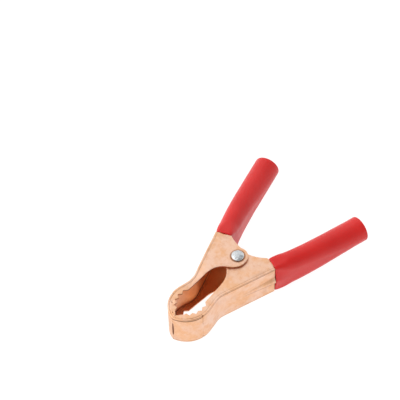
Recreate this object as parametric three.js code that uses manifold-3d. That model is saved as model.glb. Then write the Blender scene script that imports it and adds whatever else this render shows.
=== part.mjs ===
// A spring clip for a test or battery lead: two stamped, copper-plated jaws on one rivet, closed by a
// torsion spring, each handle in a soft sleeve. Millimetres, +Z up. The pivot runs along Z through the
// origin, and Z = 0 is the flat end of the rivet's tail. The nose points along -X. The outer jaw, whose
// cheeks lie outside at the pivot, is at +Y, and the inner jaw faces it at -Y.
import * as THREE from "three";
import { mergeVertices } from "three/addons/utils/BufferGeometryUtils.js";
import Module from "manifold-3d";

const wasm = await Module();
wasm.setup();

const OUTER_JAW = 1;
const INNER_JAW = -1;

// Sheet and heights. A height is measured over the outside of a jaw's two cheeks.
const SHEET = 0.8;
const NOSE_HEIGHT = 16.7;
const CHEEK_GAP = 0.3;
const PIVOT_HEIGHT = { [OUTER_JAW]: NOSE_HEIGHT + 2 * (SHEET + CHEEK_GAP), [INNER_JAW]: NOSE_HEIGHT };
const SPLAY_START_X = -28;
const SPLAY_END_X = -9.5;
const HALF_NOSE_GAP = 0.15;
const CLOSING_Y = 0.4;

// Rivet
const TAIL_HEIGHT = 0.6;
const TAIL_RADIUS = 2.6;
const TAIL_FLAT_RADIUS = 2.1;
const SHANK_RADIUS = 1.9;
const SHANK_CLEARANCE = 0.08;
const HEAD_RADIUS = 2.85;
const HEAD_RIM = 0.3;
const HEAD_CROWN = 0.85;
const HEAD_CLEARANCE = 0.1;
const MID_Z = TAIL_HEIGHT + HEAD_CLEARANCE + PIVOT_HEIGHT[OUTER_JAW] / 2;

// The jaw's outline from above. Both jaws are given as if at +Y.
const NOSE = {
  [OUTER_JAW]: { x: -30.55, y: -2.6, radius: 11.95 },
  [INNER_JAW]: { x: -30.25, y: -3, radius: 11.9 },
};
const NOSE_END_ANGLE = THREE.MathUtils.degToRad(76);
const WAIST_START = { x: -23.9, y: 8.05 };
const WAIST = { x: -21.1, y: 7.35 };
const WAIST_END = { x: -18.3, y: 8.3 };
const WEB_CORNER = { [OUTER_JAW]: { x: 5.46, y: 16.45 }, [INNER_JAW]: { x: 5.46, y: 16.08 } };
const RIM_BACK_X = -39.9;
const TEETH = {
  [OUTER_JAW]: { x: -30.6, y: -2, rootRadius: 8.8, tipRadius: 7.5 },
  [INNER_JAW]: { x: -30.05, y: -2.3, rootRadius: 8.8, tipRadius: 7.8 },
};
const TOOTH_COUNT = 4;
const TOOTH_PITCH = THREE.MathUtils.degToRad(19.05);
const LAST_ROOT_ANGLE = THREE.MathUtils.degToRad(151.9);
const MOUTH = {
  [OUTER_JAW]: {
    corner: { x: -26.9, y: 5 },
    sideEnd: { x: -17, y: 4.6 },
    bend: { x: -10.9, y: 4.85 },
    back: { x: -7.75, y: 0.75 },
  },
  [INNER_JAW]: {
    corner: { x: -26.4, y: 4.6 },
    sideEnd: { x: -17, y: 3.95 },
    bend: { x: -10.9, y: 3.75 },
    back: { x: -7.9, y: 0.4 },
  },
};
const LUG_RADIUS = 4.6;
const LUG_BEND = { x: -4.4, y: -5.2 };
const LUG_START_ANGLE = THREE.MathUtils.degToRad(-95);
const LUG_END_ANGLE = THREE.MathUtils.degToRad(22);
const THROAT_BEND = { x: 4.75, y: 5.7 };

// The lens-shaped slot where the two tips meet, and the bead pressed into each web
const SLOT_HEIGHT = 9.8;
const SLOT_WIDTH = 1;
const SLOT_BACK_X = -38;
const BEAD_START_X = -9.7;
const BEAD_START_WIDTH = 1.4;
const BEAD_END_WIDTH = 4.7;
const BEAD_DEPTH = 1.15;
const BEAD_ROOT = 0.4;
const BEAD_SIDES = 10;
const BEAD_END_WALL = 0.8;

// The handle's centreline from above: an arc that turns inwards, then a straight stretch
const HANDLE_START = { [OUTER_JAW]: { x: 5.4, y: 12.86 }, [INNER_JAW]: { x: 7.4, y: 13.4 } };
const HANDLE_START_HEADING = THREE.MathUtils.degToRad(22.5);
const HANDLE_END_HEADING = THREE.MathUtils.degToRad(14.8);
const HANDLE_BEND_LENGTH = 26;
const HANDLE_END_X = 52.4;

// The sleeve's cross-section: a tall oval at its mouth, round at its end
const MOUTH_WIDTH = { [OUTER_JAW]: 6.8, [INNER_JAW]: 6.6 };
const MOUTH_CORNER_RADIUS = 1.3;
const MOUTH_TOP_HEIGHT = { [OUTER_JAW]: 18.9, [INNER_JAW]: 17.3 };
const SHOULDER_LENGTH = 8;
const SHOULDER_WIDTH = 9.1;
const SHOULDER_HEIGHT = 17.3;
const SLEEVE_DIAMETER = 11.7;
const TAPER_END = 43;
const SLEEVE_LIP = 0.55;
const SLEEVE_WALL = 1.0;
const SLEEVE_SLACK = 0.12;
const SHANK_STATIONS = [2, 4, 6, SHOULDER_LENGTH, 12, 17, 22, HANDLE_BEND_LENGTH, 33];

// The metal inside the sleeve
const NECK_START = -0.8;
const NECK_END = -0.25;
const SPLICE_START = -2.6;
const HANDLE_RECESS = 5;
const LIP_CURL = 0.5;
const SPLICE_INSET = 0.06;
const MIN_CORNER_RADIUS = 0.2;

// Torsion spring
const WIRE_RADIUS = 0.9;
const COIL_RADIUS = 3.9;
const COIL_PITCH = 1.95;
const COIL_WHOLE_TURNS = 5;
const WIRE_STEPS = 150;
const WIRE_SIDES = 8;
const LEG_HEADING = THREE.MathUtils.degToRad(43);
const LEG_LENGTH = 20.4;

const ARC_SEGMENTS = 12;
const CORNER_SEGMENTS = 5;
const ROUND_SEGMENTS = 40;
const CROWN_STEPS = 7;
const FAR = 60;
const OVERRUN = 1;
const END_CAP = 0.01;
const WELD = 1e-5;

const COPPER = { color: 0xe9b48a, roughness: 0.38, metalness: 0.9 };
const ZINC = { color: 0xcfd3d6, roughness: 0.25, metalness: 0.95 };
const SPRING_STEEL = { color: 0x8f8c88, roughness: 0.4, metalness: 0.9 };
const RED_VINYL = { color: 0xcf2f2c, roughness: 0.42, metalness: 0 };

// ---------------------------------------------------------------- solids

function solid(geometry) {
  const bare = geometry.index ? geometry.toNonIndexed() : geometry.clone();
  bare.deleteAttribute("normal");
  bare.deleteAttribute("uv");
  const merged = mergeVertices(bare, WELD);
  return new wasm.Manifold(
    new wasm.Mesh({
      numProp: 3,
      vertProperties: new Float32Array(merged.attributes.position.array),
      triVerts: new Uint32Array(merged.index.array),
    })
  );
}

function meshOf(shape, name, look) {
  const result = shape.getMesh();
  const geometry = new THREE.BufferGeometry();
  geometry.setAttribute("position", new THREE.BufferAttribute(result.vertProperties, 3));
  geometry.setIndex(new THREE.BufferAttribute(result.triVerts, 1));
  geometry.computeVertexNormals();
  const mesh = new THREE.Mesh(geometry, new THREE.MeshStandardMaterial(look));
  mesh.name = name;
  return mesh;
}

// A plan outline, given for the jaw at +Y, extruded over every height
function planSolid(points, side) {
  const shape = new THREE.Shape(points.map((p) => new THREE.Vector2(p.x, side * p.y)));
  const geometry = new THREE.ExtrudeGeometry(shape, { depth: 2 * FAR, bevelEnabled: false });
  return solid(geometry.translate(0, 0, MID_Z - FAR));
}

// Everything between a jaw's two cheek planes, which splay apart from the nose to the pivot
function heightEnvelope(side, inset) {
  const nose = NOSE_HEIGHT / 2 - inset;
  const pivot = PIVOT_HEIGHT[side] / 2 - inset;
  const upper = [
    [-FAR, nose],
    [SPLAY_START_X, nose],
    [SPLAY_END_X, pivot],
    [FAR, pivot],
  ];
  const lower = upper.map(([x, z]) => [x, -z]).reverse();
  const shape = new THREE.Shape([...upper, ...lower].map(([x, z]) => new THREE.Vector2(x, z)));
  const geometry = new THREE.ExtrudeGeometry(shape, { depth: 2 * FAR, bevelEnabled: false });
  return solid(geometry.translate(0, 0, -FAR).rotateX(Math.PI / 2).translate(0, 0, MID_Z));
}

// A closed skin through rings of points, which all have the same number of points
function loft(rings) {
  const count = rings[0].length;
  const positions = rings.flat().flatMap((p) => [p.x, p.y, p.z]);
  const indices = [];
  for (let i = 0; i + 1 < rings.length; i++) {
    for (let j = 0; j < count; j++) {
      const a = i * count + j;
      const b = i * count + ((j + 1) % count);
      indices.push(a, b, a + count, b, b + count, a + count);
    }
  }
  const last = (rings.length - 1) * count;
  for (let j = 1; j + 1 < count; j++) {
    indices.push(0, j + 1, j, last, last + j, last + j + 1);
  }
  if (signedVolume(positions, indices) < 0) indices.reverse();
  const geometry = new THREE.BufferGeometry();
  geometry.setAttribute("position", new THREE.Float32BufferAttribute(positions, 3));
  geometry.setIndex(indices);
  return solid(geometry);
}

function signedVolume(positions, indices) {
  const corner = (k) => new THREE.Vector3().fromArray(positions, 3 * indices[k]);
  let volume = 0;
  for (let k = 0; k < indices.length; k += 3) {
    volume += corner(k).dot(corner(k + 1).cross(corner(k + 2))) / 6;
  }
  return volume;
}

// ---------------------------------------------------------------- plan outlines

const onCircle = (c, radius, angle) => ({
  x: c.x + radius * Math.cos(angle),
  y: c.y + radius * Math.sin(angle),
});

// Where a jaw's tip ends, half the gap short of the line on which the two jaws close
const tipY = (side) => side * CLOSING_Y + HALF_NOSE_GAP;

// The web's outside line: round the nose, in through the waist, then out to the handle
function webLine(side) {
  const path = new THREE.Path();
  const nose = NOSE[side];
  const tipAngle = Math.PI - Math.asin((tipY(side) - nose.y) / nose.radius);
  path.absarc(nose.x, nose.y, nose.radius, tipAngle, NOSE_END_ANGLE, true);
  path.lineTo(WAIST_START.x, WAIST_START.y);
  path.quadraticCurveTo(WAIST.x, WAIST.y, WAIST_END.x, WAIST_END.y);
  const corner = WEB_CORNER[side];
  const run = new THREE.Vector2(corner.x - WAIST_END.x, corner.y - WAIST_END.y);
  const beyond = run.setLength(run.length() + 2 * OVERRUN);
  path.lineTo(WAIST_END.x + beyond.x, WAIST_END.y + beyond.y);
  return path.getPoints(ARC_SEGMENTS);
}

// The cheek's free edge, from behind the lug back to the rim of the nose
function cheekEdge(side) {
  const path = new THREE.Path();
  const teeth = TEETH[side];
  const mouth = MOUTH[side];
  const corner = handlePoint(side, 0, -MOUTH_WIDTH[side] / 2);
  const beyond = handlePoint(side, 2 * OVERRUN, -MOUTH_WIDTH[side] / 2);
  const lugEnd = onCircle({ x: 0, y: 0 }, LUG_RADIUS, LUG_END_ANGLE);
  path.moveTo(beyond.x, beyond.y);
  path.lineTo(corner.x, corner.y);
  path.quadraticCurveTo(THROAT_BEND.x, THROAT_BEND.y, lugEnd.x, lugEnd.y);
  path.absarc(0, 0, LUG_RADIUS, LUG_END_ANGLE, LUG_START_ANGLE, true);
  path.quadraticCurveTo(LUG_BEND.x, LUG_BEND.y, mouth.back.x, mouth.back.y);
  path.quadraticCurveTo(mouth.bend.x, mouth.bend.y, mouth.sideEnd.x, mouth.sideEnd.y);
  path.lineTo(mouth.corner.x, mouth.corner.y);
  for (let k = TOOTH_COUNT; k >= 0; k--) {
    const rootAngle = LAST_ROOT_ANGLE - k * TOOTH_PITCH;
    const root = onCircle(teeth, teeth.rootRadius, rootAngle);
    path.lineTo(root.x, root.y);
    if (k > 0) {
      const tip = onCircle(teeth, teeth.tipRadius, rootAngle + TOOTH_PITCH / 2);
      path.lineTo(tip.x, tip.y);
    }
  }
  path.lineTo(RIM_BACK_X, tipY(side));
  return path.getPoints(ARC_SEGMENTS);
}

// The web's inside line, one sheet in from its outside line, closed far out on the open side
function cavityOutline(side) {
  const line = webLine(side);
  const inside = line.map((p, i) => {
    const ahead = line[Math.min(i + 1, line.length - 1)];
    const behind = line[Math.max(i - 1, 0)];
    const heading = new THREE.Vector2().subVectors(ahead, behind).normalize();
    return { x: p.x + SHEET * heading.y, y: p.y - SHEET * heading.x };
  });
  const first = inside[0];
  const last = inside[inside.length - 1];
  return [{ x: first.x, y: -FAR }, ...inside, { x: last.x, y: -FAR }];
}

// ---------------------------------------------------------------- handles

// The point at distance s along the handle's centreline, and offset sideways towards the web
function handlePoint(side, s, offset) {
  const bend = THREE.MathUtils.clamp(s, 0, HANDLE_BEND_LENGTH);
  const turn = HANDLE_END_HEADING - HANDLE_START_HEADING;
  const heading = HANDLE_START_HEADING + (turn * bend) / HANDLE_BEND_LENGTH;
  const chordHeading = (HANDLE_START_HEADING + heading) / 2;
  const straight = s - bend;
  const start = HANDLE_START[side];
  const x = start.x + bend * Math.cos(chordHeading) + straight * Math.cos(heading);
  const y = start.y + bend * Math.sin(chordHeading) + straight * Math.sin(heading);
  return { x: x - offset * Math.sin(heading), y: y + offset * Math.cos(heading) };
}

function handleLength(side) {
  const bendEnd = handlePoint(side, HANDLE_BEND_LENGTH, 0);
  return HANDLE_BEND_LENGTH + (HANDLE_END_X - bendEnd.x) / Math.cos(HANDLE_END_HEADING);
}

// The sleeve's outside width, height and corner radius at distance s
function sleeveSection(s, side) {
  const shoulder = THREE.MathUtils.clamp(s / SHOULDER_LENGTH, 0, 1);
  const taper = THREE.MathUtils.clamp((s - SHOULDER_LENGTH) / (TAPER_END - SHOULDER_LENGTH), 0, 1);
  const rise = 1 - (1 - shoulder) ** 2;
  const width = THREE.MathUtils.lerp(
    THREE.MathUtils.lerp(MOUTH_WIDTH[side], SHOULDER_WIDTH, rise),
    SLEEVE_DIAMETER,
    taper
  );
  const height = THREE.MathUtils.lerp(
    THREE.MathUtils.lerp(MOUTH_TOP_HEIGHT[side], SHOULDER_HEIGHT, shoulder),
    SLEEVE_DIAMETER,
    taper
  );
  return { width, height, radius: THREE.MathUtils.lerp(MOUTH_CORNER_RADIUS, width / 2, shoulder) };
}

function wallAt(s) {
  const shoulder = THREE.MathUtils.clamp(s / SHOULDER_LENGTH, 0, 1);
  return THREE.MathUtils.lerp(SLEEVE_LIP, SLEEVE_WALL, shoulder);
}

// A rounded rectangle across the handle at distance s
function ring(s, side, width, height, radius) {
  const r = Math.min(Math.max(radius, MIN_CORNER_RADIUS), width / 2, height / 2);
  const points = [];
  for (let quarter = 0; quarter < 4; quarter++) {
    const u0 = (width / 2 - r) * (quarter === 0 || quarter === 3 ? 1 : -1);
    const z0 = (height / 2 - r) * (quarter < 2 ? 1 : -1);
    for (let k = 0; k <= CORNER_SEGMENTS; k++) {
      const angle = ((quarter + k / CORNER_SEGMENTS) * Math.PI) / 2;
      const p = handlePoint(side, s, u0 + r * Math.cos(angle));
      points.push(new THREE.Vector3(p.x, side * p.y, MID_Z + z0 + r * Math.sin(angle)));
    }
  }
  return points;
}

// The sleeve's section at distance s, inset from its outside, and placed at distance placedAt
function sleeveRing(s, side, inset, placedAt = s) {
  const section = sleeveSection(s, side);
  const width = section.width - 2 * inset;
  const height = section.height - 2 * inset;
  return ring(placedAt, side, width, height, section.radius - inset);
}

function makeSleeve(side, name) {
  const length = handleLength(side);
  const stations = [0, ...SHANK_STATIONS, TAPER_END, length];
  const skin = loft(stations.map((s) => sleeveRing(s, side, 0)));
  const bore = loft([
    sleeveRing(0, side, wallAt(0), -OVERRUN),
    ...stations.map((s) => sleeveRing(s, side, wallAt(s))),
    sleeveRing(length, side, SLEEVE_WALL, length + OVERRUN),
  ]);
  return meshOf(skin.subtract(bore), name, RED_VINYL);
}

// The handle's metal: an open-sided tube that necks down from the jaw and follows the sleeve's bore
function handleSolid(side) {
  const end = handleLength(side) - HANDLE_RECESS;
  const stations = [NECK_END, ...SHANK_STATIONS, end];
  const jawWidth = MOUTH_WIDTH[side] - 2 * SPLICE_INSET;
  const jawHeight = PIVOT_HEIGHT[side] - 2 * SPLICE_INSET;
  const jawRing = (s, inset) => ring(s, side, jawWidth - 2 * inset, jawHeight - 2 * inset, 0);
  const boreRing = (s, inset, placedAt = s) => {
    const inside = Math.max(s, 0);
    return sleeveRing(inside, side, wallAt(inside) + SLEEVE_SLACK + inset, placedAt);
  };
  const necked = (inset, first, last) =>
    loft([
      jawRing(first, inset),
      jawRing(NECK_START, inset),
      ...stations.map((s) => boreRing(s, inset)),
      boreRing(end, inset, last),
    ]);
  const outside = necked(0, SPLICE_START, end + END_CAP);
  const inside = necked(SHEET, SPLICE_START - OVERRUN, end + OVERRUN);
  const slotStations = [SPLICE_START - OVERRUN, ...stations, end + OVERRUN];
  return outside.subtract(inside).subtract(loft(slotStations.map((s) => slotRing(s, side))));
}

// The tube's open side at distance s: a rectangle from just past its middle out beyond the sleeve
function slotRing(s, side) {
  const section = sleeveSection(Math.max(s, 0), side);
  const inset = wallAt(s) + SLEEVE_SLACK + SHEET;
  const curl = Math.max(LIP_CURL * (section.radius - inset), 0);
  const halfHeight = section.height / 2 - inset - curl;
  const corners = [
    [-SHEET, -halfHeight],
    [-SHEET, halfHeight],
    [-section.width, halfHeight],
    [-section.width, -halfHeight],
  ];
  return corners.map(([offset, z]) => {
    const p = handlePoint(side, s, offset);
    return new THREE.Vector3(p.x, side * p.y, MID_Z + z);
  });
}

// ---------------------------------------------------------------- jaws

function uprightCylinder(radius) {
  const geometry = new THREE.CylinderGeometry(radius, radius, 2 * FAR, ROUND_SEGMENTS);
  return solid(geometry.rotateX(Math.PI / 2));
}

// Everything past the neck, where the stamping becomes the handle
function pastNeck(side) {
  const middle = handlePoint(side, NECK_START, 0);
  const reach = onCircle({ x: 0, y: 0 }, FAR / 2, HANDLE_START_HEADING);
  const box = new THREE.BoxGeometry(FAR, 2 * FAR, 2 * FAR).rotateZ(side * HANDLE_START_HEADING);
  return solid(box.translate(middle.x + reach.x, side * (middle.y + reach.y), MID_Z));
}

// Half of the slot where the tips meet, cut in along X
function tipSlot() {
  const length = FAR + SLOT_BACK_X;
  const geometry = new THREE.CylinderGeometry(0.5, 0.5, length, ROUND_SEGMENTS).rotateZ(Math.PI / 2);
  geometry.scale(1, SLOT_WIDTH, SLOT_HEIGHT).translate(SLOT_BACK_X - length / 2, CLOSING_Y, MID_Z);
  return solid(geometry);
}

// The bead that grows from the middle of the web to the neck, moved in by inset, up to distance end
function beadRidge(side, inset, end) {
  const start = WAIST_END;
  const corner = WEB_CORNER[side];
  const slope = (corner.y - start.y) / (corner.x - start.x);
  const neck = handlePoint(side, end, MOUTH_WIDTH[side] / 2);
  const normal = new THREE.Vector2(-slope, 1).normalize();
  const sections = [BEAD_START_X, neck.x].map((x) => {
    const grown = (x - BEAD_START_X) / (corner.x - BEAD_START_X);
    const halfWidth = THREE.MathUtils.lerp(BEAD_START_WIDTH, BEAD_END_WIDTH, grown) / 2;
    const points = [];
    for (let k = 0; k <= BEAD_SIDES; k++) {
      const share = (2 * k) / BEAD_SIDES - 1;
      const out = BEAD_DEPTH * grown * (0.5 + 0.5 * Math.cos(Math.PI * share)) - inset;
      points.push({ x, out, z: MID_Z + share * halfWidth });
    }
    points.push({ x, out: -BEAD_ROOT - inset, z: MID_Z + halfWidth });
    points.push({ x, out: -BEAD_ROOT - inset, z: MID_Z - halfWidth });
    return points;
  });
  return loft(
    sections.map((points) =>
      points.map(({ x, out, z }) => {
        const y = start.y + slope * (x - start.x);
        return new THREE.Vector3(x + out * normal.x, side * (y + out * normal.y), z);
      })
    )
  );
}

function makeJaw(side, name) {
  const outline = [...webLine(side), ...cheekEdge(side)];
  const blank = planSolid(outline, side).intersect(heightEnvelope(side, 0));
  const cavity = planSolid(cavityOutline(side), side).intersect(heightEnvelope(side, SHEET));
  const rivetHole = uprightCylinder(SHANK_RADIUS + SHANK_CLEARANCE);
  const channel = blank
    .subtract(cavity)
    .subtract(tipSlot())
    .add(beadRidge(side, 0, OVERRUN))
    .subtract(beadRidge(side, SHEET, NECK_START - BEAD_END_WALL))
    .subtract(rivetHole)
    .subtract(pastNeck(side));
  return meshOf(channel.add(handleSolid(side)), name, COPPER);
}

// ---------------------------------------------------------------- rivet and spring

function makeRivet() {
  const headSeat = TAIL_HEIGHT + 2 * HEAD_CLEARANCE + PIVOT_HEIGHT[OUTER_JAW];
  const crownStart = headSeat + HEAD_RIM;
  const profile = [
    new THREE.Vector2(0, 0),
    new THREE.Vector2(TAIL_FLAT_RADIUS, 0),
    new THREE.Vector2(TAIL_RADIUS, TAIL_HEIGHT / 2),
    new THREE.Vector2(TAIL_RADIUS, TAIL_HEIGHT),
    new THREE.Vector2(SHANK_RADIUS, TAIL_HEIGHT),
    new THREE.Vector2(SHANK_RADIUS, headSeat),
    new THREE.Vector2(HEAD_RADIUS, headSeat),
  ];
  for (let k = 0; k < CROWN_STEPS; k++) {
    const angle = (k / CROWN_STEPS) * (Math.PI / 2);
    const height = crownStart + HEAD_CROWN * Math.sin(angle);
    profile.push(new THREE.Vector2(HEAD_RADIUS * Math.cos(angle), height));
  }
  profile.push(new THREE.Vector2(0, crownStart + HEAD_CROWN));
  const geometry = new THREE.LatheGeometry(profile, ROUND_SEGMENTS).rotateX(Math.PI / 2);
  return meshOf(solid(geometry), "pivot_rivet", ZINC);
}

// The wire's centreline: in along the inner jaw's leg, up the coil, out along the outer jaw's leg
class SpringLine extends THREE.Curve {
  constructor() {
    super();
    this.startAngle = -(Math.PI / 2 + LEG_HEADING);
    this.sweep = 2 * Math.PI * (COIL_WHOLE_TURNS + 1) - 2 * (Math.PI / 2 + LEG_HEADING);
    this.coilLength = this.sweep * COIL_RADIUS;
    this.rise = (COIL_PITCH * this.sweep) / (2 * Math.PI);
  }

  getPoint(t, target = new THREE.Vector3()) {
    const run = t * (2 * LEG_LENGTH + this.coilLength) - LEG_LENGTH;
    const turned = THREE.MathUtils.clamp(run / COIL_RADIUS, 0, this.sweep);
    const angle = this.startAngle - turned;
    const straight = run < 0 ? run : Math.max(run - this.coilLength, 0);
    return target.set(
      COIL_RADIUS * Math.cos(angle) + straight * Math.sin(angle),
      COIL_RADIUS * Math.sin(angle) - straight * Math.cos(angle),
      MID_Z + this.rise * (turned / this.sweep - 0.5)
    );
  }
}

function makeSpring() {
  const section = new THREE.Shape();
  section.absarc(0, 0, WIRE_RADIUS, 0, 2 * Math.PI);
  const geometry = new THREE.ExtrudeGeometry(section, {
    steps: WIRE_STEPS,
    curveSegments: WIRE_SIDES / 2,
    bevelEnabled: false,
    extrudePath: new SpringLine(),
  });
  return meshOf(solid(geometry), "torsion_spring", SPRING_STEEL);
}

// ---------------------------------------------------------------- the clip

const clip = new THREE.Group();
clip.add(makeJaw(OUTER_JAW, "outer_jaw"));
clip.add(makeJaw(INNER_JAW, "inner_jaw"));
clip.add(makeRivet());
clip.add(makeSpring());
clip.add(makeSleeve(OUTER_JAW, "outer_jaw_sleeve"));
clip.add(makeSleeve(INNER_JAW, "inner_jaw_sleeve"));

export default clip;
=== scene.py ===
import math

import bmesh
import bpy
import numpy as np
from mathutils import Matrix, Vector, geometry, noise


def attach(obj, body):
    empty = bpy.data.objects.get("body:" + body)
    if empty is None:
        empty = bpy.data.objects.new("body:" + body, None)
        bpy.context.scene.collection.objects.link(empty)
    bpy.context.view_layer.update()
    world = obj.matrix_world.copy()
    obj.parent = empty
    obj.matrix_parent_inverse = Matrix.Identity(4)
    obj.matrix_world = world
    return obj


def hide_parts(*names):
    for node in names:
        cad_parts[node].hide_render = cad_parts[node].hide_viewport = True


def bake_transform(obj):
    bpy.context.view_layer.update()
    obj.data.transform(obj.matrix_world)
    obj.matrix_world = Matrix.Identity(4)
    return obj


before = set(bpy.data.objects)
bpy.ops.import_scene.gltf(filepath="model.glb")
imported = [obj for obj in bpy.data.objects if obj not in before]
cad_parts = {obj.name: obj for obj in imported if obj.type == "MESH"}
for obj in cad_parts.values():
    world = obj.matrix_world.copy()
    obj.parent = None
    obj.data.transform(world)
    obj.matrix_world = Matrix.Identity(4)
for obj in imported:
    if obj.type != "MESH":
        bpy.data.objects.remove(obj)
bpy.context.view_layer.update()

# noise_vector would otherwise take its offsets from the clock
noise.seed_set(1)

# A spring clip: two stamped, copper-plated jaws on a rivet, a torsion spring and two soft red sleeves.
# Lengths are millimetres in the CAD's frame, and meshes are made in metres. The rivet is on the Z axis
# and the nose points along -X. Both jaws are drawn on the +Y side, and the inner one is then mirrored.
MM = 0.001
OUTER, INNER = 1, -1
NAMES = {OUTER: "outer_jaw", INNER: "inner_jaw"}
BODIES = {OUTER: "outer_jaw_body", INNER: "inner_jaw_body"}

SHEET = 0.8
MID_Z = 10.15
NOSE_HALF = 8.35
PIVOT_HALF = {OUTER: 9.45, INNER: 8.35}
# Where along X the cheeks splay from the nose's half height to the pivot's
SPLAY = (-28.0, -9.5)
# The jaws close on this line, and each tip stops just short of it
CLOSING_Y = 0.4
TIP_GAP = 0.02

# The web's outside line: the nose's arc, the bend at the waist, then straight to the neck
NOSE = {OUTER: (-30.55, -2.6), INNER: (-30.25, -3.0)}
NOSE_RADIUS = {OUTER: 11.95, INNER: 11.9}
NOSE_END = math.radians(76)
WAIST_START, WAIST, WAIST_END = (-23.9, 8.05), (-21.1, 7.35), (-18.3, 8.3)

# The cheek's free edge: the teeth, the mouth's side, the lug round the pivot and the throat
RIM_BACK_X = -39.9
TEETH = {
    OUTER: dict(centre=(-30.6, -2.0), root=8.8, tip=7.5),
    INNER: dict(centre=(-30.05, -2.3), root=8.8, tip=7.8),
}
TOOTH_COUNT = 4
TOOTH_PITCH = math.radians(19.05)
LAST_ROOT = math.radians(151.9)
MOUTH = {
    OUTER: dict(corner=(-26.9, 5.0), side_end=(-17.0, 4.6), bend=(-10.9, 4.85), back=(-7.75, 0.75)),
    INNER: dict(corner=(-26.4, 4.6), side_end=(-17.0, 3.95), bend=(-10.9, 3.75), back=(-7.9, 0.4)),
}
LUG_RADIUS = 4.6
LUG_BEND = (-4.4, -5.2)
LUG_ARC = (math.radians(22), math.radians(-95))
THROAT_BEND = (4.75, 5.7)
HOLE_RADIUS = 1.98
EDGE_STEP = 0.9

# The handles' centrelines: a bend from one heading to the other, then straight
HANDLE_START = {OUTER: (5.4, 12.86), INNER: (7.4, 13.4)}
HANDLE_HEADINGS = (math.radians(22.5), math.radians(14.8))
HANDLE_BEND = 26.0
HANDLE_END_X = 52.4

# The sleeves change from a tall oval at the mouth, through a shoulder, to a round end
MOUTH_WIDTH = {OUTER: 6.8, INNER: 6.6}
MOUTH_HEIGHT = {OUTER: 18.9, INNER: 17.3}
MOUTH_CORNER = 1.3
SHOULDER = 8.0
SHOULDER_WIDTH, SHOULDER_HEIGHT = 9.1, 17.3
SLEEVE_DIAMETER = 11.7
TAPER_END = 43.0
LIP, WALL = 0.55, 1.0
# How far the jaw's own neck reaches in under the sleeve's lip
NECK_END = 0.9


def lerp(a, b, t):
    return a + (b - a) * t


def clamp(t, low=0.0, high=1.0):
    return max(low, min(high, t))


def smooth(t):
    t = clamp(t)
    return t * t * (3 - 2 * t)


# ---------------------------------------------------------------- plan outlines


def quadratic(a, b, c, count):
    ts = np.linspace(0, 1, count)[:, None]
    a, b, c = (np.array(p, float) for p in (a, b, c))
    return (1 - ts) ** 2 * a + 2 * ts * (1 - ts) * b + ts ** 2 * c


def arc(centre, radius, start, end, count):
    angles = np.linspace(start, end, count)
    return np.c_[centre[0] + radius * np.cos(angles), centre[1] + radius * np.sin(angles)]


def circle(centre, radius, count):
    return arc(centre, radius, 0, 2 * math.pi, count + 1)[:-1]


def on_circle(centre, radius, angle):
    return arc(centre, radius, angle, angle, 1)[0]


def spaced(points, step):
    """The same line with points no further apart than step, its corners kept."""
    out = [points[0]]
    for a, b in zip(points[:-1], points[1:]):
        n = max(1, math.ceil(np.linalg.norm(b - a) / step))
        out += [lerp(a, b, k / n) for k in range(1, n + 1)]
    return np.array(out)


def handle_point(side, s, offset=0.0):
    """The point s along a handle from its start, and offset to the left of its centreline."""
    bend = clamp(s, 0, HANDLE_BEND)
    start_heading, end_heading = HANDLE_HEADINGS
    heading = lerp(start_heading, end_heading, bend / HANDLE_BEND)
    chord = (start_heading + heading) / 2
    straight = s - bend
    x, y = HANDLE_START[side]
    x += bend * math.cos(chord) + straight * math.cos(heading) - offset * math.sin(heading)
    y += bend * math.sin(chord) + straight * math.sin(heading) + offset * math.cos(heading)
    return np.array((x, y))


def handle_length(side):
    reach = HANDLE_END_X - handle_point(side, HANDLE_BEND)[0]
    return HANDLE_BEND + reach / math.cos(HANDLE_HEADINGS[1])


def half_height(side, x):
    rise = smooth((x - SPLAY[0]) / (SPLAY[1] - SPLAY[0]))
    return lerp(NOSE_HALF, PIVOT_HALF[side], rise)


def tip_y(side):
    """Where a jaw's tip ends, just short of the line on which the two jaws close."""
    return side * CLOSING_Y + TIP_GAP


# A heading is taken over this far to each side, is square at the tip, and is the handle's at the neck
HEADING_REACH = 0.6
SQUARE_TIP = 1.6
NECK_TURN = 4.0


class WebLine:
    """The web's outside line from the tip to the neck, measured by length."""

    def __init__(self, side):
        nose, radius = NOSE[side], NOSE_RADIUS[side]
        tip = math.pi - math.asin((tip_y(side) - nose[1]) / radius)
        waist_end = np.array(WAIST_END)
        end = handle_point(side, NECK_END, MOUTH_WIDTH[side] / 2)
        self.points = np.vstack([
            arc(nose, radius, tip, NOSE_END, 90),
            quadratic(WAIST_START, WAIST, WAIST_END, 40),
            np.array([lerp(waist_end, end, t) for t in np.linspace(0.02, 1, 60)]),
        ])
        steps = np.linalg.norm(np.diff(self.points, axis=0), axis=1)
        self.at = np.r_[0, np.cumsum(steps)]
        self.length = self.at[-1]

    def point(self, d):
        return np.array([np.interp(d, self.at, self.points[:, k]) for k in (0, 1)])

    def heading(self, d):
        a = self.point(max(d - HEADING_REACH, 0))
        b = self.point(min(d + HEADING_REACH, self.length))
        along = math.atan2(b[1] - a[1], b[0] - a[0])
        along = lerp(math.pi / 2, along, smooth(d / SQUARE_TIP))
        neck = smooth((d - self.length + NECK_TURN) / NECK_TURN)
        return lerp(along, HANDLE_HEADINGS[0], neck)

    def place(self, d, n):
        """The point at length d and n in from the web's outside."""
        heading = self.heading(d)
        return self.point(d) + n * np.array((math.sin(heading), -math.cos(heading)))


def tooth_line(side):
    """Roots and tips of the teeth, from the mouth's corner to the tip of the jaw."""
    teeth = TEETH[side]
    line = []
    for k in range(TOOTH_COUNT, -1, -1):
        angle = LAST_ROOT - k * TOOTH_PITCH
        line.append(on_circle(teeth["centre"], teeth["root"], angle))
        if k:
            line.append(on_circle(teeth["centre"], teeth["tip"], angle + TOOTH_PITCH / 2))
    return line


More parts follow.
